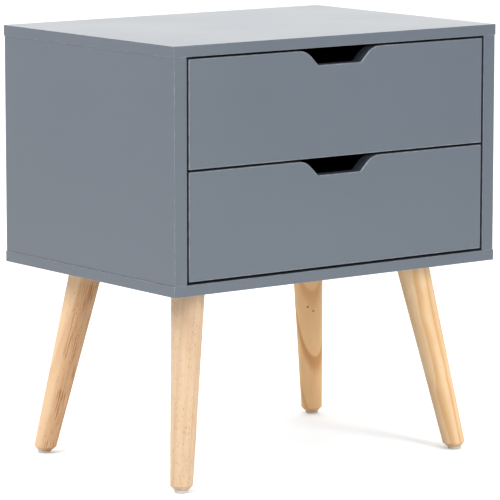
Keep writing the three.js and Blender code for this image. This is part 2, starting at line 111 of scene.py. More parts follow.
class BoardSettings(bpy.types.PropertyGroup):
    """Paint, foil and the eased edges of the boards."""

    paint: colour("Paint", "Grey satin paint on the case and the drawer fronts", 0.0545, 0.0675, 0.0850)
    # Lighter colour of the arrises: partly thin paint, partly a painted highlight.
    thin_paint_and_highlight: colour("Arris thin paint and highlight", "Lighter arrises: thin paint and a painted highlight", 0.20, 0.205, 0.222)
    foil: colour("Foil", "Printed foil on the drawer boards", 0.072, 0.084, 0.101)
    hardboard: colour("Hardboard", "Grey face of the back panel and the drawer bottoms", 0.070, 0.079, 0.092)
    board_arris: length("Board arris", "Rounding of the case boards' edges", 0.6)
    front_arris: length("Front arris", "Rounding of the drawer fronts' edges", 1.3)
    drawer_arris: length("Drawer arris", "Rounding of the drawer boards' edges", 0.35)
    arris_steps: IntProperty(name="Arris steps", description="Faces across a rounding", default=3, min=1)
    notch_depth: length("Cut-out depth", "Depth of the finger cut-out in a drawer front", 20.5)


class LegSettings(bpy.types.PropertyGroup):
    """The turned legs and their glides."""

    inset: length("Inset", "From the edges of the case to the leg's axis, at the underside", 82)
    splay: angle("Splay", "Lean of the leg's axis, outward along the diagonal", 13.5)
    top_radius: length("Top radius", "Radius at the leg's top", 22.75)
    foot_radius: length("Foot radius", "Radius at the leg's foot", 15.2)
    top_drop: length("Top drop", "From the underside of the case to the leg's top, along the axis", 9.77)
    foot_tilt: angle("Foot tilt", "Lean of the leg's end face", 6)
    foot_face: length("Foot face", "Radius of the end face inside its chamfer", 9.8)
    bolt_radius: length("Bolt bore", "Radius of the hanger bolt's bore", 4.3)
    bolt_depth: length("Bolt depth", "Depth of the hanger bolt's bore in the leg", 35.3)
    segments: IntProperty(name="Segments", description="Faces around the leg", default=64, min=12)
    glide_radius: length("Glide radius", "Radius of the glide", 9.4)
    glide_height: length("Glide height", "Height of the glide at its middle", 3.8)
    glide_edge: length("Glide edge", "Rounding of the glide's lower edge", 1.0)


class FittingSettings(bpy.types.PropertyGroup):
    """Screws, cams and rollers."""

    plate_thickness: length("Plate thickness", "Thickness of the leg plates", 3)
    plate_screw_reach: length("Plate screw reach", "From a plate's middle to each of its screws", 36.77)
    plate_head_radius: length("Plate screw head", "Radius of the leg plates' screw heads", 4.2)
    plate_head_height: length("Plate screw height", "Height of the leg plates' screw heads", 2.4)
    runner_head_radius: length("Runner screw head", "Radius of the runners' screw heads", 3.0)
    runner_head_height: length("Runner screw height", "Height of the runners' screw heads", 1.0)
    runner_steel: length("Runner steel", "Thickness of the runners' steel", 1.2)
    cam_radius: length("Cam radius", "Radius of the cams", 7.5)
    cam_bolt_radius: length("Cam bolt radius", "Radius of the cams' bolts", 3)
    roller_radius: length("Roller radius", "Radius of the rollers", 9)
    roller_bore: length("Roller bore", "Radius of the rollers' bores", 2.7)
    roller_width: length("Roller width", "Width of the rollers", 6.5)
    roller_edge: length("Roller edge", "Rounding of the rollers' edges", 0.6)


class StudioSettings(bpy.types.PropertyGroup):
    """Floor, light and camera."""

    floor: colour("Floor", "Plain pale floor", 0.86, 0.86, 0.86)
    floor_size: number("Floor size", "Side of the floor", 60, unit="LENGTH")
    surround: number("Surround", "Brightness of the surround in front", 0.4)
    backdrop: number("Backdrop", "Brightness of the surround behind and above", 1.66)
    overhead: number("Overhead", "Power of the soft light above", 16, unit="POWER")
    front: number("Front", "Power of the soft light in front", 58, unit="POWER")
    left: number("Left", "Power of the soft light at the left", 36, unit="POWER")
    bearing: angle("Bearing", "Camera's bearing from the front, towards the left side", 37.13)
    elevation: angle("Elevation", "Camera's height above the horizon", 8.65)
    distance: number("Distance", "From the camera to its aim", 5.032, unit="LENGTH")
    aim_height: number("Aim height", "Height of the aim", 0.2847, unit="LENGTH")
    lens: number("Lens", "Focal length in millimetres", 259.8)


# ---------------------------------------------------------------- node trees


class Tree:
    """Adds nodes to one tree and links them."""

    def __init__(self, tree):
        self.tree = tree
        self.nodes = tree.nodes

    def feed(self, socket, value):
        if isinstance(value, bpy.types.NodeSocket):
            self.tree.links.new(value, socket)
        elif value is not None:
            socket.default_value = value

    def add(self, kind, inputs=None, **settings):
        node = self.nodes.new(kind)
        for key, value in settings.items():
            setattr(node, key, value)
        for key, value in (inputs or {}).items():
            self.feed(node.inputs[key], value)
        return node

    def math(self, operation, a, b=None, clamp=False):
        inputs = {0: a} if b is None else {0: a, 1: b}
        return self.add("ShaderNodeMath", inputs, operation=operation, use_clamp=clamp).outputs[0]

    def vector(self, operation, a, b=None):
        inputs = {0: a} if b is None else {0: a, 1: b}
        return self.add("ShaderNodeVectorMath", inputs, operation=operation).outputs[0]

    def product(self, first, *others):
        for other in others:
            first = self.math("MULTIPLY", first, other)
        return first

    def around_half(self, value, amount):
        """How far value is from a half, times amount."""
        return self.product(self.math("SUBTRACT", value, 0.5), amount)

    def size_of(self, vector):
        return self.add("ShaderNodeVectorMath", {0: vector}, operation="LENGTH").outputs["Value"]

    def dot(self, a, b):
        return self.add("ShaderNodeVectorMath", {0: a, 1: b}, operation="DOT_PRODUCT").outputs["Value"]

    def combine(self, x=0.0, y=0.0, z=0.0):
        return self.add("ShaderNodeCombineXYZ", {0: x, 1: y, 2: z}).outputs[0]

    def scaled(self, vector, amount):
        return self.add("ShaderNodeVectorMath", {0: vector, "Scale": amount}, operation="SCALE").outputs[0]

    def spread(self, value, low, high, start=0.0, end=1.0):
        """value, taken from low..high to start..end with soft ends."""
        inputs = {"Value": value, "From Min": low, "From Max": high, "To Min": start, "To Max": end}
        return self.add("ShaderNodeMapRange", inputs, interpolation_type="SMOOTHSTEP").outputs[0]

    def mix(self, factor, a, b, blend="MIX"):
        inputs = {0: factor, 6: a, 7: b}
        node = self.add("ShaderNodeMix", inputs, data_type="RGBA", blend_type=blend, clamp_factor=True)
        return node.outputs[2]

    def noise(self, place, scale, detail=2.0, roughness=0.5):
        inputs = {"Vector": place, "Scale": scale, "Detail": detail, "Roughness": roughness}
        return self.add("ShaderNodeTexNoise", inputs).outputs["Fac"]

    def moved(self, mesh, place=None, rotation=None, scale=None):
        inputs = {"Geometry": mesh, "Translation": place, "Rotation": rotation, "Scale": scale}
        return self.add("GeometryNodeTransform", inputs).outputs[0]

    def cylinder(self, sides, radius, depth):
        inputs = {"Vertices": sides, "Radius": radius, "Depth": depth}
        return self.add("GeometryNodeMeshCylinder", inputs).outputs["Mesh"]

    def facing(self, direction):
        """The turn that takes Z to a direction."""
        return self.add("FunctionNodeAlignRotationToVector", {"Vector": direction}, axis="Z").outputs[0]

    def solid_cut(self, operation, base, *others):
        """The exact boolean of meshes. base is None where the operation has none."""
        node = self.add("GeometryNodeMeshBoolean", operation=operation, solver="EXACT")
        self.feed(node.inputs[0], base)
        for other in others:
            self.tree.links.new(other, node.inputs[1])
        return node.outputs[0]

    def end(self, given, out, geometry):
        """Ends a geometry tree with real, coated faces."""
        real = self.add("GeometryNodeRealizeInstances", {"Geometry": geometry}).outputs[0]
        inputs = {"Geometry": real, "Material": given["Material"]}
        self.feed(out.inputs[0], self.add("GeometryNodeSetMaterial", inputs).outputs[0])
        return self.tree


SOCKETS = {
    "geometry": "NodeSocketGeometry",
    "material": "NodeSocketMaterial",
    "vector": "NodeSocketVector",
    "colour": "NodeSocketColor",
    "float": "NodeSocketFloat",
}
# Bookends of every geometry tree.
GEOMETRY_IN = {"Geometry": "geometry"}
COATED = {"Material": "material"}


def socket_kind(default):
    if isinstance(default, str):
        return SOCKETS[default]
    if isinstance(default, tuple):
        return SOCKETS["vector" if len(default) == 3 else "colour"]
    return "NodeSocketInt" if isinstance(default, int) else SOCKETS["float"]


def new_group(name, kind, inputs, outputs):
    """A node group whose inputs are named with their defaults and whose outputs are named with
    their kinds. Returns its Tree, its inputs and its output node."""
    group = bpy.data.node_groups.new(name, kind)
    for label, default in inputs.items():
        socket = group.interface.new_socket(label, in_out="INPUT", socket_type=socket_kind(default))
        if not isinstance(default, str):
            socket.default_value = default
    for label, output_kind in outputs.items():
        group.interface.new_socket(label, in_out="OUTPUT", socket_type=SOCKETS[output_kind])
    tree = Tree(group)
    given = tree.add("NodeGroupInput").outputs
    return tree, given, tree.add("NodeGroupOutput")


def new_surface_group(name, inputs, outputs):
    return new_group(name, "ShaderNodeTree", {"Place": (0.0, 0.0, 0.0), **inputs}, outputs)


def new_shape_group(name, inputs):
    return new_group(name, "GeometryNodeTree", {**GEOMETRY_IN, **inputs, **COATED}, {"Geometry": "geometry"})


def existing(collection, name, make):
    return collection.get(name) or make()


# ---------------------------------------------------------------- shader groups


def mottling_group():
    """Slow patches and fine grain: what paint, foil, board, plastic and steel all show."""
    tree, given, out = new_surface_group(
        "Mottling",
        {
            "Colour": (0.5, 0.5, 0.5, 1),
            "Patch Size": 0.1,
            "Patch Spread": 0.05,
            "Grain Size": 0.001,
            "Grain Spread": 0.02,
            "Roughness": 0.5,
            "Roughness Spread": 0.05,
        },
        {"Colour": "colour", "Roughness": "float", "Height": "float"},
    )
    patches = tree.noise(given["Place"], tree.math("DIVIDE", 1.0, given["Patch Size"]), 3.0)
    grain = tree.noise(given["Place"], tree.math("DIVIDE", 1.0, given["Grain Size"]), 2.0)
    patch_part = tree.around_half(patches, given["Patch Spread"])
    grain_part = tree.around_half(grain, given["Grain Spread"])
    value = tree.math("ADD", tree.math("ADD", patch_part, grain_part), 1.0)
    rough_part = tree.around_half(patches, given["Roughness Spread"])
    tree.feed(out.inputs["Colour"], tree.scaled(given["Colour"], value))
    tree.feed(out.inputs["Roughness"], tree.math("ADD", given["Roughness"], rough_part, clamp=True))
    tree.feed(out.inputs["Height"], grain)
    return tree.tree


def arris_group():
    """Paint or foil lighter on the rounded edges, in broken patches: partly thin paint, partly a painted
    highlight.
    """
    tree, given, out = new_surface_group(
        "Rubbed Arris",
        {"Colour": (0.5, 0.5, 0.5, 1), "Rubbed Colour": (0.6, 0.6, 0.6, 1), "Arris": 0.0, "Amount": 0.5},
        {"Colour": "colour"},
    )
    broken = tree.spread(tree.noise(given["Place"], 90.0, 3.0), 0.38, 0.66, 0.35, 1.0)
    mask = tree.product(given["Arris"], broken, given["Amount"])
    tree.feed(out.inputs["Colour"], tree.mix(mask, given["Colour"], given["Rubbed Colour"]))
    return tree.tree


def wood_group():
    """Solid wood: growth rings about a pith, fibres, pores, fissures and pin knots, all through its depth."""
    tree, given, out = new_surface_group(
        "Turned Wood",
        {
            "Early Wood": (0.7, 0.5, 0.3, 1),
            "Late Wood": (0.5, 0.3, 0.15, 1),
            "Pore Colour": (0.2, 0.1, 0.05, 1),
            "Pith": (0.05, 0.0, 0.0),
            "Lean": (0.0, 0.0, 0.0),
            "Ring Spacing": 0.008,
            "Ring Band": 0.5,
            "Wander": 0.0025,
            "Bands": 0.5,
            "Fibres": 0.4,
            "Blotches": 0.3,
            "Pores": 0.5,
            "Pore Depth": 0.4,
            "Fissures": 0.0,
            "Fissure Side": (1.0, 0.0, 0.0),
            "Knot A": (0.0, 0.0, 1.0),
            "Knot B": (0.0, 0.0, 1.0),
            "Seed": 0.0,
        },
        {"Colour": "colour", "Roughness": "float", "Height": "float"},
    )
    seed = tree.combine(given["Seed"], given["Seed"], given["Seed"])
    place = tree.vector("ADD", given["Place"], seed)

    def stretched(across, along, detail=2.0, roughness=0.5):
        """Noise drawn out along the leg. across and along are its features per metre."""
        return tree.noise(tree.vector("MULTIPLY", place, (across, across, along)), 1.0, detail, roughness)

    # Growth rings: distance from a pith that wanders and leans along the leg. Some are bold, others faint.
    slow = tree.vector("MULTIPLY", place, (24.0, 24.0, 7.0))
    sway = tree.add("ShaderNodeTexNoise", {"Vector": slow, "Scale": 1.0, "Detail": 2.0}).outputs["Color"]
    offset = tree.scaled(tree.vector("SUBTRACT", sway, (0.5, 0.5, 0.5)), given["Wander"])
    height = tree.add("ShaderNodeSeparateXYZ", {0: given["Place"]}).outputs[2]
    from_pith = tree.vector("SUBTRACT", given["Place"], given["Pith"])
    from_pith = tree.vector("ADD", tree.vector("ADD", from_pith, offset), tree.scaled(given["Lean"], height))
    radius = tree.size_of(tree.vector("MULTIPLY", from_pith, (1.0, 1.0, 0.0)))
    count = tree.math("DIVIDE", radius, given["Ring Spacing"])
    phase = tree.math("FRACT", count)
    rise = tree.spread(phase, tree.math("SUBTRACT", 0.9, given["Ring Band"]), 0.9)
    fall = tree.spread(phase, 0.93, 1.0, 1.0, 0.0)
    index = tree.math("ADD", tree.math("FLOOR", count), given["Seed"])
    bold = tree.add("ShaderNodeTexWhiteNoise", {"W": index}, noise_dimensions="1D").outputs["Value"]
    rings = tree.product(rise, fall, tree.spread(bold, 0.0, 1.0, 0.45, 1.0))

    # Fibres: long fine streaks, slower bands of tone, and patches.
    fine = stretched(1000.0, 30.0, 3.0, 0.65)
    broad = stretched(170.0, 7.0)
    patch = stretched(55.0, 16.0)
    streak = tree.math("ADD", tree.math("MULTIPLY", fine, 0.6), tree.math("MULTIPLY", broad, 0.4))
    streak = tree.around_half(streak, given["Fibres"])
    blotch = tree.around_half(patch, given["Blotches"])
    tone = tree.math("ADD", tree.math("MULTIPLY", rings, given["Bands"]), tree.math("ADD", streak, blotch))

    # Fissures: long broken lines on one side of the leg, in wood that has darkened about them.
    split = stretched(300.0, 11.0, 2.0, 0.55)
    away = tree.math("ABSOLUTE", tree.math("SUBTRACT", split, 0.5))
    line = tree.spread(away, 0.015, 0.085, 1.0, 0.0)
    gate = tree.spread(stretched(95.0, 24.0, 2.0, 0.6), 0.46, 0.62)
    outward = tree.vector("NORMALIZE", tree.vector("MULTIPLY", given["Place"], (1.0, 1.0, 0.0)))
    side = tree.dot(outward, given["Fissure Side"])
    near = tree.math("MULTIPLY", tree.spread(side, 0.35, 0.8), given["Fissures"])
    fissures = tree.product(line, gate, near)
    stain = tree.math("MULTIPLY", tree.spread(away, 0.0, 0.25, 0.45, 0.0), near)
    tone = tree.math("ADD", tone, tree.math("ADD", tree.math("MULTIPLY", near, 0.28), stain))
    wood = tree.mix(tree.math("ADD", tone, 0.1, clamp=True), given["Early Wood"], given["Late Wood"])

    # Pores: short dashes along the fibres, in clumps, some filled light.
    squeezed = tree.vector("MULTIPLY", place, (560.0, 560.0, 165.0))
    cells = tree.add("ShaderNodeTexVoronoi", {"Vector": squeezed, "Scale": 1.0})
    chances = tree.add("ShaderNodeSeparateColor", {0: cells.outputs["Color"]}).outputs
    clump = tree.spread(stretched(75.0, 15.0), 0.36, 0.6, 0.15, 1.0)
    sound = tree.math("ADD", tree.math("SUBTRACT", 1.0, given["Fissures"]), near)
    kept = tree.math("LESS_THAN", chances[0], tree.product(given["Pores"], clump, sound))
    dash = tree.spread(cells.outputs["Distance"], 0.14, 0.44, 1.0, 0.0)
    pores = tree.math("MULTIPLY", kept, dash)
    depth = tree.spread(chances[1], 0.0, 1.0, 0.45, 1.0)
    pore_mask = tree.product(pores, depth, given["Pore Depth"])

    # Pin knots: two small dark eyes.
    knots = 0.0
    for label in ("Knot A", "Knot B"):
        distance = tree.size_of(tree.vector("SUBTRACT", given["Place"], given[label]))
        knots = tree.math("ADD", knots, tree.spread(distance, 0.0008, 0.0022, 0.9, 0.0))

    dark = tree.math("MAXIMUM", pore_mask, tree.math("MAXIMUM", fissures, knots), clamp=True)
    tree.feed(out.inputs["Colour"], tree.mix(dark, wood, given["Pore Colour"]))
    tree.feed(out.inputs["Roughness"], tree.spread(fine, 0.2, 0.8, 0.54, 0.68))
    grooves = tree.math("MULTIPLY", tree.math("MAXIMUM", pores, fissures), -0.8)
    tree.feed(out.inputs["Height"], tree.math("ADD", tree.math("MULTIPLY", fine, 0.25), grooves))
    return tree.tree


def drawn_lines_group():
    """Long fine lines that run one way: printed foil, brushed or drawn steel."""
    tree, given, out = new_surface_group(
        "Drawn Lines",
        {
            "Across": (1500.0, 20.0, 1500.0),
            "Colour": (0.5, 0.5, 0.5, 1),
            "Line Colour": (0.4, 0.4, 0.4, 1),
            "Amount": 0.3,
        },
        {"Colour": "colour", "Height": "float"},
    )
    lines = tree.noise(tree.vector("MULTIPLY", given["Place"], given["Across"]), 1.0, 3.0, 0.6)
    mask = tree.product(tree.spread(lines, 0.45, 0.75), given["Amount"])
    tree.feed(out.inputs["Colour"], tree.mix(mask, given["Colour"], given["Line Colour"]))
    tree.feed(out.inputs["Height"], lines)
    return tree.tree


# ---------------------------------------------------------------- materials


class Finish:
    """A material in the making: a Principled BSDF with its surface groups in front of it."""

    def __init__(self, name, **sockets):
        self.material = bpy.data.materials.new(name)
        self.material.use_nodes = True
        self.tree = Tree(self.material.node_tree)
        self.tree.nodes.clear()
        self.shader = self.tree.add("ShaderNodeBsdfPrincipled")
        out = self.tree.add("ShaderNodeOutputMaterial", {"Surface": self.shader.outputs[0]})
        out.is_active_output = True
        for label, value in sockets.items():
            self.shader.inputs[label.replace("_", " ")].default_value = value

    def place(self):
        return self.tree.add("ShaderNodeTexCoord").outputs["Object"]

    def attribute(self, name, output="Vector"):
        return self.tree.add("ShaderNodeAttribute", attribute_name=name).outputs[output]

    def group(self, name, make, inputs):
        tree = existing(bpy.data.node_groups, name, make)
        return self.tree.add("ShaderNodeGroup", inputs, node_tree=tree).outputs

    def mottled(self, colour, patch, grain, roughness):
        """The mottling over a colour. patch, grain and roughness are each a size or value and a spread."""
        inputs = {
            "Place": self.place(),
            "Colour": colour,
            "Patch Size": patch[0],
            "Patch Spread": patch[1],
            "Grain Size": grain[0],
            "Grain Spread": grain[1],
            "Roughness": roughness[0],
            "Roughness Spread": roughness[1],
        }
        return self.group("Mottling", mottling_group, inputs)

    def lined(self, across, colour, line_colour, amount):
        inputs = {
            "Place": self.place(),
            "Across": across,
            "Colour": colour,
            "Line Colour": line_colour,
            "Amount": amount,
        }
        return self.group("Drawn Lines", drawn_lines_group, inputs)

    # Lightens the arris faces: partly thin paint, partly a painted highlight.
    def thin_paint_and_highlight(self, colour, arris_lightening):
        inputs = {
            "Place": self.place(),
            "Colour": colour,
            "Rubbed Colour": solid(bpy.context.scene.nightstand_boards.thin_paint_and_highlight),
            "Arris": self.attribute("arris", "Fac"),
            "Amount": arris_lightening,
        }
        return self.group("Rubbed Arris", arris_group, inputs)["Colour"]

    def surface(self, colour, roughness=None, height=None, depth=0.0):
        """Feeds the shader. depth is the height of the bumps in metres."""
        self.tree.feed(self.shader.inputs["Base Color"], colour)
        self.tree.feed(self.shader.inputs["Roughness"], roughness)
        if height is not None:
            bump = self.tree.add("ShaderNodeBump", {"Height": height, "Distance": depth, "Strength": 1.0})
            self.tree.feed(self.shader.inputs["Normal"], bump.outputs["Normal"])
        return self.material


def solid(value):
    return (*value, 1.0)


def paint_material():
    """Satin paint, lighter on the arrises: partly thin paint, partly a painted highlight."""
    settings = bpy.context.scene.nightstand_boards

    def make():
        finish = Finish("grey_satin_paint")
        body = finish.mottled(solid(settings.paint), (0.16, 0.06), (0.0011, 0.035), (0.30, 0.08))
        lightened_arrises = finish.thin_paint_and_highlight(body["Colour"], 0.55)
        return finish.surface(lightened_arrises, body["Roughness"], body["Height"], 0.000012)

    return existing(bpy.data.materials, "grey_satin_paint", make)


def foil_material():
    """Grey foil with a pressed wood grain along the boards."""
    settings = bpy.context.scene.nightstand_boards

    def make():
        finish = Finish("grey_printed_foil")
        darker = solid([part * 0.72 for part in settings.foil])
        lines = finish.lined((90.0, 8.0, 620.0), solid(settings.foil), darker, 0.55)
        body = finish.mottled(lines["Colour"], (0.12, 0.06), (0.0009, 0.05), (0.5, 0.08))
        # Lighter arrises: partly thin foil, partly a painted highlight.
        lightened_arrises = finish.thin_paint_and_highlight(body["Colour"], 0.35)
        return finish.surface(lightened_arrises, body["Roughness"], lines["Height"], 0.00003)

    return existing(bpy.data.materials, "grey_printed_foil", make)


def hardboard_material():
    """Pressed fibres under a thin grey coat."""
    settings = bpy.context.scene.nightstand_boards

    def make():
        finish = Finish("pressed_hardboard")
        body = finish.mottled(solid(settings.hardboard), (0.05, 0.10), (0.0016, 0.22), (0.62, 0.12))
        return finish.surface(body["Colour"], body["Roughness"], body["Height"], 0.00005)

    return existing(bpy.data.materials, "pressed_hardboard", make)


# What sets one leg's wood off from another's. Places and sides are in the leg's own frame: x outward
# along the diagonal, z up along the axis, from where the axis meets the underside of the case.
WOODS = {
    "front_left": {
        "Early Wood": (0.430, 0.315, 0.215, 1),
        "Late Wood": (0.346, 0.211, 0.109, 1),
        "Pore Colour": (0.255, 0.115, 0.040, 1),
        "Pith": (-0.0049, 0.0135, 0.0),
        "Lean": (0.012, 0.02, 0.0),
        "Ring Spacing": 0.0082,
        "Ring Band": 0.45,
        "Bands": 0.34,
        "Fibres": 0.80,
        "Blotches": 0.40,
        "Pores": 0.90,
        "Pore Depth": 0.72,
        "Fissures": 0.12,
        "Fissure Side": (0.67, 0.74, 0.0),
        "Seed": 3.1,
    },
    "front_right": {
        "Early Wood": (0.499, 0.353, 0.209, 1),
        "Late Wood": (0.391, 0.219, 0.088, 1),
        "Pore Colour": (0.250, 0.120, 0.050, 1),
        "Pith": (0.0113, 0.0056, 0.0),
        "Lean": (0.01, 0.015, 0.0),
        "Ring Spacing": 0.00765,
        "Ring Band": 0.60,
        "Wander": 0.0060,
        "Bands": 0.75,
        "Fibres": 0.85,
        "Blotches": 1.0,
        "Pores": 0.05,
        "Pore Depth": 0.35,
        "Seed": 7.7,
    },
    "rear_left": {
        "Early Wood": (0.496, 0.340, 0.210, 1),
        "Late Wood": (0.372, 0.202, 0.092, 1),
        "Pore Colour": (0.215, 0.085, 0.030, 1),
        "Pith": (-0.0136, -0.0040, 0.0),
        "Lean": (0.02, 0.02, 0.0),
        "Ring Spacing": 0.0098,
        "Ring Band": 0.50,
        "Bands": 0.30,
        "Fibres": 0.90,
        "Blotches": 0.55,
        "Pores": 0.75,
        "Pore Depth": 0.70,
        "Fissures": 0.80,
        "Fissure Side": (-0.80, 0.60, 0.0),
        "Seed": 12.3,
    },
    "rear_right": {
        "Early Wood": (0.560, 0.352, 0.180, 1),
        "Late Wood": (0.418, 0.210, 0.082, 1),
        "Pore Colour": (0.060, 0.030, 0.015, 1),
        "Pith": (0.0400, 0.0137, 0.0),
        "Lean": (-0.1485, -0.0209, 0.0),
        "Ring Spacing": 0.0176,
        "Ring Band": 0.28,
        "Bands": 1.0,
        "Fibres": 0.80,
        "Blotches": 0.45,
        "Pores": 0.10,
        "Pore Depth": 0.30,
        "Knot A": (-0.0197, -0.0010, -0.100),
        "Knot B": (-0.0185, -0.0090, -0.107),
        "Seed": 20.9,
    },
}


def wood_material(corner):
    name = f"{corner}_leg_wood"

    def make():
        finish = Finish(name)
        inputs = {"Place": finish.attribute("grain"), **WOODS[corner]}
        wood = finish.group("Turned Wood", wood_group, inputs)
        finish.shader.inputs["Specular IOR Level"].default_value = 0.15
        return finish.surface(wood["Colour"], wood["Roughness"], wood["Height"], 0.00010)

    return existing(bpy.data.materials, name, make)


def moulded_material(name, colour, roughness, metallic=0.0, patch=0.08, grain=0.1, depth=0.00002, **sockets):
    """Plastic, enamel or metal with even mottling."""

    def make():
        finish = Finish(name, Metallic=metallic, **sockets)
        body = finish.mottled(solid(colour), (0.02, patch), (0.0007, grain), (roughness, 0.15))
        return finish.surface(body["Colour"], body["Roughness"], body["Height"], depth)

    return existing(bpy.data.materials, name, make)


def enamel_material():
    return moulded_material("white_enamel", (0.50, 0.495, 0.475), 0.35, depth=0.00003)


def nylon_material():
    return moulded_material("white_nylon", (0.52, 0.51, 0.48), 0.42)


def zinc_material():
    return moulded_material("cast_zinc", (0.50, 0.51, 0.52), 0.42, metallic=0.9, patch=0.2, grain=0.2)


def glide_material():
    return moulded_material("milky_plastic", (0.36, 0.35, 0.33), 0.38, patch=0.10)


def plated_material():
    """Zinc-plated steel, drawn along its length."""

    def make():
        finish = Finish("plated_steel", Metallic=1.0)
        lines = finish.lined((1400.0, 60.0, 1400.0), (0.62, 0.63, 0.64, 1), (0.45, 0.46, 0.48, 1), 0.6)
        body = finish.mottled(lines["Colour"], (0.015, 0.25), (0.0008, 0.15), (0.34, 0.2))
        return finish.surface(body["Colour"], body["Roughness"], lines["Height"], 0.00001)

    return existing(bpy.data.materials, "plated_steel", make)


# ---------------------------------------------------------------- meshes


def merged_copy(node):
    """A bmesh of a CAD node with its loose triangles joined into flat faces."""
    made = bmesh.new()
    made.from_mesh(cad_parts[node].data)
    bmesh.ops.remove_doubles(made, verts=made.verts, dist=0.01 * MM)
    bmesh.ops.dissolve_limit(
        made, angle_limit=math.radians(0.3), verts=made.verts, edges=made.edges, use_dissolve_boundaries=False
    )
    return made


def planes_of(edge, low, high):
    """Which faces of the box from low to high the edge lies in, as pairs of axis and end."""
    found = set()
    for axis in range(3):
        for end, limit in ((-1, low[axis]), (1, high[axis])):
            if all(abs(vert.co[axis] - limit) < TOUCHING for vert in edge.verts):
                found.add((axis, end))
    return found


def is_sharp(edge):
    return len(edge.link_faces) == 2 and edge.calc_face_angle(0.0) > math.radians(20)


def on_two_faces(edge, low, high):
    return len(planes_of(edge, low, high)) >= 2


def finish_mesh(made, name, material, sharp_degrees=35):
    """Turns a bmesh into an object of its own, smooth but for its sharp edges."""
    mesh = bpy.data.meshes.new(name)
    made.to_mesh(mesh)
    made.free()
    return finish_object(mesh, name, material, sharp_degrees)


def finish_object(mesh, name, material, sharp_degrees=35):
    mesh.polygons.foreach_set("use_smooth", [True] * len(mesh.polygons))
    mesh.set_sharp_from_angle(angle=math.radians(sharp_degrees))
    mesh.materials.clear()
    mesh.materials.append(material)
    piece = bpy.data.objects.new(name, mesh)
    bpy.context.scene.collection.objects.link(piece)
    return piece


def eased_board(node, name, material, arris, steps, chosen):
    """A board with its chosen edges rounded and marked in the arris attribute."""
    made = merged_copy(node)
    arris_layer = made.faces.layers.float.new("arris")
    low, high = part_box(node)
    edges = [edge for edge in made.edges if is_sharp(edge) and chosen(edge, low, high)]
    if not edges:
        raise RuntimeError(f"{node} has no edges to round")
    rounded = bmesh.ops.bevel(
        made, geom=edges, offset=arris, segments=steps, profile=0.5, affect="EDGES", clamp_overlap=False
    )
    for face in rounded["faces"]:
        face[arris_layer] = 1.0
    piece = finish_mesh(made, name, material)
    even = piece.modifiers.new("Even shading", "WEIGHTED_NORMAL")
    even.keep_sharp = True
    return piece


def fit(piece, body, slot, *nodes):
    """Says which body a finished piece rides on and which nodes it stands for. slot, its finish, is not used.
    """
    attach(piece, body)
    if nodes:
        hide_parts(*nodes)
    return piece


def coat(node, material):
    """Gives a CAD node its material."""
    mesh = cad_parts[node].data
    mesh.materials.clear()
    mesh.materials.append(material)
    mesh.polygons.foreach_set("material_index", [0] * len(mesh.polygons))


# ---------------------------------------------------------------- geometry node trees


def leg_tree():
    """A turned leg: a taper, cut at the foot by a chamfered end that leans less than the leg."""
    tree, given, out = new_shape_group(
        "Turned leg",
        {
            "Length": 0.27,
            "Top Drop": 0.01,
            "Top Radius": 0.023,
            "Foot Radius": 0.015,
            "Foot Face": 0.01,
            "Foot Lean": 0.13,
            "Bolt Radius": 0.004,
            "Bolt Depth": 0.035,
            "Splay": 0.24,
            "Bearing": 0.0,
            "Place": (0.0, 0.0, 0.0),
            "Segments": 64,
        },
    )

    def cone(top, bottom, depth, rows):
        inputs = {
            "Vertices": given["Segments"],
            "Side Segments": rows,
            "Radius Top": top,
            "Radius Bottom": bottom,
            "Depth": depth,
        }
        return tree.add("GeometryNodeMeshCone", inputs).outputs["Mesh"]

    # The taper runs on past the foot by a tenth of its length, at the same slope.
    full = tree.math("SUBTRACT", given["Length"], given["Top Drop"])
    slope = tree.math("DIVIDE", tree.math("SUBTRACT", given["Top Radius"], given["Foot Radius"]), full)
    overrun = tree.product(full, 0.1)
    end_radius = tree.math("SUBTRACT", given["Foot Radius"], tree.product(slope, overrun))
    low = tree.product(tree.math("ADD", given["Length"], overrun), -1.0)
    taper = cone(given["Top Radius"], end_radius, tree.math("ADD", full, overrun), 12)
    taper = tree.moved(taper, tree.combine(z=low))

    # The kept part widens upward from the end face at 45 degrees.
    wide = tree.math("ADD", given["Foot Face"], given["Length"])
    foot = tree.combine(z=tree.product(given["Length"], -1.0))
    kept = cone(wide, given["Foot Face"], given["Length"], 1)
    kept = tree.moved(kept, foot, tree.combine(y=given["Foot Lean"]))
    body = tree.solid_cut("INTERSECT", None, taper, kept)

    # The bore for the hanger bolt.
    bore = tree.cylinder(24, given["Bolt Radius"], tree.product(given["Bolt Depth"], 2.0))
    bore = tree.moved(bore, tree.combine(z=tree.product(given["Top Drop"], -1.0)))
    bored = tree.solid_cut("DIFFERENCE", body, bore)

    # The grain runs along the leg's own axis, so its place is stored before the leg is leant.
    place = tree.add("GeometryNodeInputPosition").outputs[0]
    stored = tree.add(
        "GeometryNodeStoreNamedAttribute",
        {"Geometry": bored, "Name": "grain", "Value": place},
        data_type="FLOAT_VECTOR",
        domain="POINT",
    ).outputs[0]
    lean = tree.combine(y=tree.product(given["Splay"], -1.0), z=given["Bearing"])
    return tree.end(given, out, tree.moved(stored, given["Place"], lean))


def crossed_bars(tree, radius, breadth, depth, height):
    """Two crossed bars, the cutter for a cross recess in a head. breadth is a share of the head's radius."""
    reach, width = tree.product(radius, 1.15), tree.product(radius, breadth)
    for size in ((reach, width), (width, reach)):
        shape = tree.combine(*size, tree.product(depth, 2.0))
        bar = tree.add("GeometryNodeMeshCube", {"Size": shape}).outputs["Mesh"]
        yield tree.moved(bar, tree.combine(z=height))


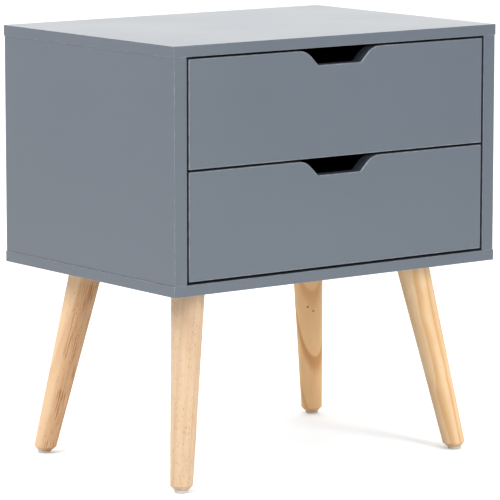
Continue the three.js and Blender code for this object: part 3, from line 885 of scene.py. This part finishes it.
def screw_tree():
    """Domed heads with a cross recess, one on each point, facing along the point's axis attribute."""
    tree, given, out = new_shape_group(
        "Cross-head screws", {"Head Radius": 0.004, "Head Height": 0.002, "Recess": 0.6}
    )
    ball = tree.add("GeometryNodeMeshUVSphere", {"Segments": 20, "Rings": 12, "Radius": 1.0}).outputs["Mesh"]
    size = tree.combine(given["Head Radius"], given["Head Radius"], given["Head Height"])
    dome = tree.moved(ball, scale=size)
    depth = tree.product(given["Head Height"], given["Recess"])
    bars = crossed_bars(tree, given["Head Radius"], 0.26, depth, given["Head Height"])
    head = tree.solid_cut("DIFFERENCE", dome, *bars)

    # The underside is flat and rests on the surface.
    place = tree.add("GeometryNodeInputPosition").outputs[0]
    x, y, z = tree.add("ShaderNodeSeparateXYZ", {0: place}).outputs
    flat = tree.combine(x, y, tree.math("MAXIMUM", z, 0.0))
    head = tree.add("GeometryNodeSetPosition", {"Geometry": head, "Position": flat}).outputs[0]

    axis = tree.add("GeometryNodeInputNamedAttribute", {"Name": "axis"}, data_type="FLOAT_VECTOR").outputs[0]
    inputs = {"Points": given["Geometry"], "Instance": head, "Rotation": tree.facing(axis)}
    return tree.end(given, out, tree.add("GeometryNodeInstanceOnPoints", inputs).outputs[0])


def cam_tree():
    """A cam lock: a disc with a cross recess and the bolt that it pulls on."""
    tree, given, out = new_shape_group(
        "Cam lock",
        {
            "Disc Radius": 0.0075,
            "Disc Depth": 0.012,
            "Bolt Radius": 0.003,
            "Bolt Middle": (0.0, 0.0, 0.0),
            "Bolt Length": 0.03,
            "Bolt Axis": (0.0, 0.0, 1.0),
            "Mouth": (0.0, 0.0, 0.0),
            "Facing": (1.0, 0.0, 0.0),
        },
    )
    disc = tree.cylinder(48, given["Disc Radius"], given["Disc Depth"])
    disc = tree.moved(disc, tree.combine(z=tree.product(given["Disc Depth"], -0.5)))
    depth = tree.product(given["Disc Depth"], 0.3)
    disc = tree.solid_cut("DIFFERENCE", disc, *crossed_bars(tree, given["Disc Radius"], 0.22, depth, 0.0))
    disc = tree.moved(disc, given["Mouth"], tree.facing(given["Facing"]))
    bolt = tree.cylinder(24, given["Bolt Radius"], given["Bolt Length"])
    bolt = tree.moved(bolt, given["Bolt Middle"], tree.facing(given["Bolt Axis"]))
    return tree.end(given, out, tree.solid_cut("UNION", None, disc, bolt))


def roller_tree():
    """A roller: a rounded section swept round its bore, with its axis along X."""
    tree, given, out = new_shape_group(
        "Roller",
        {
            "Outer Radius": 0.009,
            "Bore Radius": 0.0027,
            "Width": 0.0065,
            "Edge": 0.0006,
            "Place": (0.0, 0.0, 0.0),
        },
    )
    middle = tree.product(tree.math("ADD", given["Outer Radius"], given["Bore Radius"]), 0.5)
    thick = tree.math("SUBTRACT", given["Outer Radius"], given["Bore Radius"])
    path = tree.add("GeometryNodeCurvePrimitiveCircle", {"Resolution": 56, "Radius": middle}).outputs["Curve"]
    outline = {"Width": thick, "Height": given["Width"]}
    section = tree.add("GeometryNodeCurvePrimitiveQuadrilateral", outline).outputs["Curve"]
    rounding = {"Curve": section, "Radius": given["Edge"], "Count": 4}
    section = tree.add("GeometryNodeFilletCurve", rounding, mode="POLY").outputs[0]
    swept = tree.add("GeometryNodeCurveToMesh", {"Curve": path, "Profile Curve": section}).outputs[0]
    return tree.end(given, out, tree.moved(swept, given["Place"], (0.0, math.pi / 2, 0.0)))


def grown(name, tree_name, make, values, base=None, sharp_degrees=35):
    """Runs a geometry node tree with these inputs on a base mesh, and keeps its result as a plain mesh."""
    tree = existing(bpy.data.node_groups, tree_name, make)
    carrier = bpy.data.objects.new(f"{name}_carrier", base or bpy.data.meshes.new(f"{name}_carrier"))
    bpy.context.scene.collection.objects.link(carrier)
    modifier = carrier.modifiers.new(tree_name, "NODES")
    modifier.node_group = tree
    sockets = {
        item.name: item.identifier
        for item in tree.interface.items_tree
        if item.item_type == "SOCKET" and item.in_out == "INPUT"
    }
    for label, value in values.items():
        modifier[sockets[label]] = value
    evaluated = carrier.evaluated_get(bpy.context.evaluated_depsgraph_get())
    mesh = bpy.data.meshes.new_from_object(evaluated)
    mesh.name = name
    bpy.data.objects.remove(carrier)
    if not mesh.polygons:
        raise RuntimeError(f"{tree_name} made nothing for {name}")
    return finish_object(mesh, name, values["Material"], sharp_degrees)


def leg_length(settings, underside):
    """From the underside of the case to the end face of a leg, along its axis."""
    return (underside - settings.glide_height) / math.cos(settings.splay)


def leg_seat(settings, corner):
    """Where a leg's axis meets the underside of the case."""
    low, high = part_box("bottom_board")
    x, y = CORNERS[corner]
    return Vector((x * (high.x - settings.inset), y * (high.y - settings.inset), low.z))


def marked_points(name, places):
    """A mesh of loose points, each with the direction that its screw faces."""
    mesh = bpy.data.meshes.new(name)
    mesh.from_pydata([place for place, _ in places], [], [])
    axes = mesh.attributes.new("axis", "FLOAT_VECTOR", "POINT")
    for i, (_, axis) in enumerate(places):
        axes.data[i].vector = axis
    return mesh


# ---------------------------------------------------------------- operators


class NIGHTSTAND_OT_case_boards(bpy.types.Operator):
    """Paint the case boards and ease their edges"""

    bl_idname = "nightstand.case_boards"
    bl_label = "Case Boards"

    def execute(self, context):
        settings = context.scene.nightstand_boards
        for node in CASE_BOARDS:
            piece = eased_board(
                node,
                f"painted_{node}",
                paint_material(),
                settings.board_arris,
                settings.arris_steps,
                on_two_faces,
            )
            fit(piece, "case", "grey_paint", node)
        coat("back_panel", hardboard_material())
        return {"FINISHED"}


class NIGHTSTAND_OT_drawer_fronts(bpy.types.Operator):
    """Paint the drawer fronts and ease their edges and finger cut-outs"""

    bl_idname = "nightstand.drawer_fronts"
    bl_label = "Drawer Fronts"

    def execute(self, context):
        settings = context.scene.nightstand_boards

        def on_outline(edge, low, high):
            planes = planes_of(edge, low, high)
            above = high.z - settings.notch_depth - 1 * MM
            upper = all(vert.co.z > above for vert in edge.verts)
            return (1, -1) in planes or len(planes) >= 2 or ((1, 1) in planes and upper)

        for level in LEVELS:
            node = f"{level}_drawer_front"
            arris, steps = settings.front_arris, settings.arris_steps
            piece = eased_board(node, f"painted_{node}", paint_material(), arris, steps, on_outline)
            fit(piece, f"{level}_drawer", "grey_paint", node)
        return {"FINISHED"}


class NIGHTSTAND_OT_drawer_boxes(bpy.types.Operator):
    """Cover the drawer sides and backs with foil, and lay their bottoms"""

    bl_idname = "nightstand.drawer_boxes"
    bl_label = "Drawer Boxes"

    def execute(self, context):
        settings = context.scene.nightstand_boards
        for level in LEVELS:
            for board in ("left_side", "right_side", "back"):
                node = f"{level}_drawer_{board}"
                piece = eased_board(
                    node,
                    f"foiled_{node}",
                    foil_material(),
                    settings.drawer_arris,
                    settings.arris_steps,
                    on_two_faces,
                )
                fit(piece, f"{level}_drawer", "grey_foil", node)
            coat(f"{level}_drawer_bottom", hardboard_material())
        return {"FINISHED"}


class NIGHTSTAND_OT_legs(bpy.types.Operator):
    """Turn the four wooden legs"""

    bl_idname = "nightstand.legs"
    bl_label = "Legs"

    def execute(self, context):
        settings = context.scene.nightstand_legs
        for corner, (x, y) in CORNERS.items():
            seat = leg_seat(settings, corner)
            values = {
                "Length": leg_length(settings, seat.z),
                "Top Drop": settings.top_drop + SEAT_ROOM,
                "Top Radius": settings.top_radius,
                "Foot Radius": settings.foot_radius,
                "Foot Face": settings.foot_face,
                "Foot Lean": settings.splay - settings.foot_tilt,
                "Bolt Radius": settings.bolt_radius,
                "Bolt Depth": settings.bolt_depth,
                "Splay": settings.splay,
                "Bearing": math.atan2(y, x),
                "Place": seat,
                "Segments": settings.segments,
                "Material": wood_material(corner),
            }
            piece = grown(f"turned_{corner}_leg", "Turned leg", leg_tree, values, sharp_degrees=24)
            fit(piece, "case", "natural_wood", f"{corner}_leg")
        return {"FINISHED"}


class NIGHTSTAND_OT_glides(bpy.types.Operator):
    """Turn the plastic glides under the legs"""

    bl_idname = "nightstand.glides"
    bl_label = "Glides"

    def execute(self, context):
        settings = context.scene.nightstand_legs
        around, steps, edge = 64, 6, settings.glide_edge
        level_radius = settings.glide_radius - edge
        quarter = [i / steps * math.pi / 2 for i in range(steps + 1)]
        profile = [(level_radius + edge * math.sin(a), edge - edge * math.cos(a)) for a in quarter]
        for corner, (x, y) in CORNERS.items():
            outward = Vector((x, y, 0)).normalized()
            seat = leg_seat(settings, corner)
            reach = math.sin(settings.splay) * leg_length(settings, seat.z)
            centre = Vector((seat.x, seat.y, 0)) + outward * reach
            made = bmesh.new()
            rings = []
            # The last ring follows the leg's leaning end face.
            for radius, height in (*profile, (settings.glide_radius, None)):
                ring = []
                for i in range(around):
                    turn = 2 * math.pi * i / around
                    offset = Vector((math.cos(turn), math.sin(turn), 0)) * radius
                    rise = offset.dot(outward) * math.tan(settings.foot_tilt)
                    top = settings.glide_height - SEAT_ROOM + rise
                    level = top if height is None else height
                    ring.append(made.verts.new(centre + offset + Vector((0, 0, level))))
                rings.append(ring)
            for lower, upper in zip(rings, rings[1:]):
                for i in range(around):
                    j = (i + 1) % around
                    made.faces.new((lower[i], lower[j], upper[j], upper[i]))
            made.faces.new(rings[-1])
            made.faces.new(list(reversed(rings[0])))
            piece = finish_mesh(made, f"turned_{corner}_glide", glide_material())
            fit(piece, "case", "glide_plastic", f"{corner}_glide")
        return {"FINISHED"}


class NIGHTSTAND_OT_runners(bpy.types.Operator):
    """Enamel the runners and turn their rollers"""

    bl_idname = "nightstand.runners"
    bl_label = "Runners"

    def execute(self, context):
        settings = context.scene.nightstand_fittings
        for level in LEVELS:
            for side in SIDES:
                coat(f"{level}_{side}_drawer_rail", enamel_material())
                coat(f"{level}_{side}_case_channel", enamel_material())
                for kind in ("rail", "channel"):
                    node = f"{level}_{side}_{kind}_roller"
                    low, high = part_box(node)
                    values = {
                        "Outer Radius": settings.roller_radius,
                        "Bore Radius": settings.roller_bore,
                        "Width": settings.roller_width,
                        "Edge": settings.roller_edge,
                        "Place": (low + high) / 2,
                        "Material": nylon_material(),
                    }
                    piece = grown(f"turned_{node}", "Roller", roller_tree, values)
                    fit(piece, node, "nylon", node)
        return {"FINISHED"}


class NIGHTSTAND_OT_cams(bpy.types.Operator):
    """Set the cam locks in the side boards and the drawer sides"""

    bl_idname = "nightstand.cams"
    bl_label = "Cam Locks"

    def execute(self, context):
        settings = context.scene.nightstand_fittings
        up, forward = Vector((0, 0, 1)), Vector((0, -1, 0))
        cams = []
        for side, x in SIDES.items():
            board = f"{side}_side_board"
            cams += [("case", f"{side}_{end}_top_cam", x, up, board) for end in ("front", "rear")]
            for level in LEVELS:
                board = f"{level}_drawer_{side}_side"
                cams.append((f"{level}_drawer", f"{level}_drawer_{side}_cam", x, forward, board))
        for body, node, x, bolt_axis, board in cams:
            low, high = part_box(node)
            board_low, board_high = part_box(board)
            inner, outer = (high.x, low.x) if x < 0 else (low.x, high.x)
            radius = settings.cam_radius
            centre = Vector((inner, high.y - radius, low.z + radius))
            bolt_length = high.z - centre.z if bolt_axis.z else centre.y - low.y
            board_middle = (board_low.x + board_high.x) / 2
            middle = Vector((board_middle, centre.y, centre.z)) + bolt_axis * bolt_length / 2
            values = {
                "Disc Radius": radius,
                "Disc Depth": abs(outer - inner),
                "Bolt Radius": settings.cam_bolt_radius,
                "Bolt Middle": middle,
                "Bolt Length": bolt_length,
                "Bolt Axis": bolt_axis,
                "Mouth": centre,
                "Facing": Vector((-x, 0, 0)),
                "Material": zinc_material(),
            }
            piece = grown(f"cast_{node}", "Cam lock", cam_tree, values)
            fit(piece, body, "zinc", node)
        return {"FINISHED"}


class NIGHTSTAND_OT_plates(bpy.types.Operator):
    """Finish the leg plates, their bolts and the screws in the bottom board"""

    bl_idname = "nightstand.plates"
    bl_label = "Leg Plates"

    def execute(self, context):
        for corner in CORNERS:
            coat(f"{corner}_leg_plate", plated_material())
            coat(f"{corner}_hanger_bolt", plated_material())
        for side in SIDES:
            for end in ("front", "rear"):
                coat(f"{side}_{end}_bottom_screw", plated_material())
        return {"FINISHED"}


class NIGHTSTAND_OT_screws(bpy.types.Operator):
    """Drive the screws of the leg plates and the runners"""

    bl_idname = "nightstand.screws"
    bl_label = "Screws"

    def execute(self, context):
        settings = context.scene.nightstand_fittings
        legs = context.scene.nightstand_legs
        plate_points, channel_points = [], []
        rail_points = {level: [] for level in LEVELS}
        for corner in CORNERS:
            middle = leg_seat(legs, corner) - Vector((0, 0, settings.plate_thickness))
            for step in ((1, 0), (-1, 0), (0, 1), (0, -1)):
                offset = Vector((*step, 0)) * settings.plate_screw_reach
                plate_points.append((middle + offset, (0, 0, -1)))
        for level in LEVELS:
            for side, x in SIDES.items():
                start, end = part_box(f"{level}_{side}_case_channel")
                web = (end.x if x > 0 else start.x) - x * settings.runner_steel
                for part in CHANNEL_SCREWS:
                    y = start.y + part * (end.y - start.y)
                    channel_points.append((Vector((web, y, (start.z + end.z) / 2)), (-x, 0, 0)))
                start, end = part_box(f"{level}_{side}_drawer_rail")
                board_low, board_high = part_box(f"{level}_drawer_{side}_side")
                middle = (board_low.x + board_high.x) / 2
                for part in RAIL_SCREWS:
                    y = start.y + part * (end.y - start.y)
                    rail_points[level].append((Vector((middle, y, start.z)), (0, 0, -1)))
        runner = (settings.runner_head_radius, settings.runner_head_height)
        plate = (settings.plate_head_radius, settings.plate_head_height)
        rows = [
            ("leg_plate_screws", "case", plate_points, plate),
            ("channel_screws", "case", channel_points, runner),
            *((f"{level}_rail_screws", f"{level}_drawer", rail_points[level], runner) for level in LEVELS),
        ]
        for name, body, places, (radius, height) in rows:
            values = {"Head Radius": radius, "Head Height": height, "Recess": 0.6}
            values["Material"] = plated_material()
            piece = grown(name, "Cross-head screws", screw_tree, values, marked_points(name, places))
            fit(piece, body, "bolt_steel")
        return {"FINISHED"}


class NIGHTSTAND_OT_studio(bpy.types.Operator):
    """Lay the floor, hang the lights and set the camera"""

    bl_idname = "nightstand.studio"
    bl_label = "Studio"

    def execute(self, context):
        settings = context.scene.nightstand_studio
        scene = context.scene
        floor_mesh = bpy.data.meshes.new("floor")
        half = settings.floor_size / 2
        corners = [(-half, -half, 0), (half, -half, 0), (half, half, 0), (-half, half, 0)]
        floor_mesh.from_pydata(corners, [], [(0, 1, 2, 3)])
        finish = Finish("pale_floor")
        body = finish.mottled(solid(settings.floor), (0.4, 0.01), (0.002, 0.01), (0.8, 0.05))
        floor_mesh.materials.append(finish.surface(body["Colour"], body["Roughness"]))
        floor = bpy.data.objects.new("floor", floor_mesh)
        scene.collection.objects.link(floor)

        world = bpy.data.worlds.new("white_surround")
        world.use_nodes = True
        tree = Tree(world.node_tree)
        towards = tree.add("ShaderNodeTexCoord").outputs["Generated"]
        upward_and_back = tree.dot(towards, (0.0, 1.0, 1.2))
        strength = tree.spread(upward_and_back, -0.2, 0.6, settings.surround, settings.backdrop)
        background = tree.nodes["Background"]
        tree.feed(background.inputs["Color"], (1, 1, 1, 1))
        # Seen directly, the surround is plain white on every side.
        seen = tree.add("ShaderNodeLightPath").outputs["Is Camera Ray"]
        tree.feed(background.inputs["Strength"], tree.math("MAXIMUM", strength, seen))
        scene.world = world

        aim = Vector((0, 0, settings.aim_height))
        for name, (place, size) in SOFTBOXES.items():
            light = bpy.data.lights.new(f"{name}_softbox", "AREA")
            light.size = size
            light.energy = getattr(settings, name)
            softbox = bpy.data.objects.new(f"{name}_softbox", light)
            softbox.location = place
            softbox.visible_camera = False
            softbox.rotation_euler = (aim - softbox.location).to_track_quat("-Z", "Y").to_euler()
            scene.collection.objects.link(softbox)

        lens = bpy.data.cameras.new("camera")
        lens.sensor_width = 36.0
        lens.lens = settings.lens
        lens.clip_end = 200.0
        camera = bpy.data.objects.new("camera", lens)
        bearing, level = settings.bearing, math.cos(settings.elevation)
        back = Vector((-math.sin(bearing) * level, -math.cos(bearing) * level, math.sin(settings.elevation)))
        camera.location = aim + back * settings.distance
        camera.rotation_euler = (-back).to_track_quat("-Z", "Y").to_euler()
        scene.collection.objects.link(camera)
        scene.camera = camera
        scene.view_settings.view_transform = "Standard"
        return {"FINISHED"}


class NIGHTSTAND_PT_pieces(bpy.types.Panel):
    """The nightstand's pieces and settings"""

    bl_label = "Nightstand"
    bl_idname = "NIGHTSTAND_PT_pieces"
    bl_space_type = "VIEW_3D"
    bl_region_type = "UI"
    bl_category = "Nightstand"

    def draw(self, context):
        for operator in OPERATORS:
            self.layout.operator(operator.bl_idname)
        for name, group in GROUPS.items():
            box = self.layout.box()
            box.label(text=group.__doc__)
            for key in group.__annotations__:
                box.prop(getattr(context.scene, name), key)


GROUPS = {
    "nightstand_boards": BoardSettings,
    "nightstand_legs": LegSettings,
    "nightstand_fittings": FittingSettings,
    "nightstand_studio": StudioSettings,
}
OPERATORS = (
    NIGHTSTAND_OT_studio,
    NIGHTSTAND_OT_case_boards,
    NIGHTSTAND_OT_drawer_fronts,
    NIGHTSTAND_OT_drawer_boxes,
    NIGHTSTAND_OT_legs,
    NIGHTSTAND_OT_glides,
    NIGHTSTAND_OT_runners,
    NIGHTSTAND_OT_cams,
    NIGHTSTAND_OT_plates,
    NIGHTSTAND_OT_screws,
)


def register():
    for made in (*GROUPS.values(), *OPERATORS, NIGHTSTAND_PT_pieces):
        bpy.utils.register_class(made)
    for name, group in GROUPS.items():
        setattr(bpy.types.Scene, name, PointerProperty(type=group))


def unregister():
    for name in GROUPS:
        delattr(bpy.types.Scene, name)
    for made in reversed((*GROUPS.values(), *OPERATORS, NIGHTSTAND_PT_pieces)):
        bpy.utils.unregister_class(made)


def main():
    register()
    for operator in OPERATORS:
        category, action = operator.bl_idname.split(".")
        getattr(getattr(bpy.ops, category), action)()


if __name__ == "__main__":
    main()
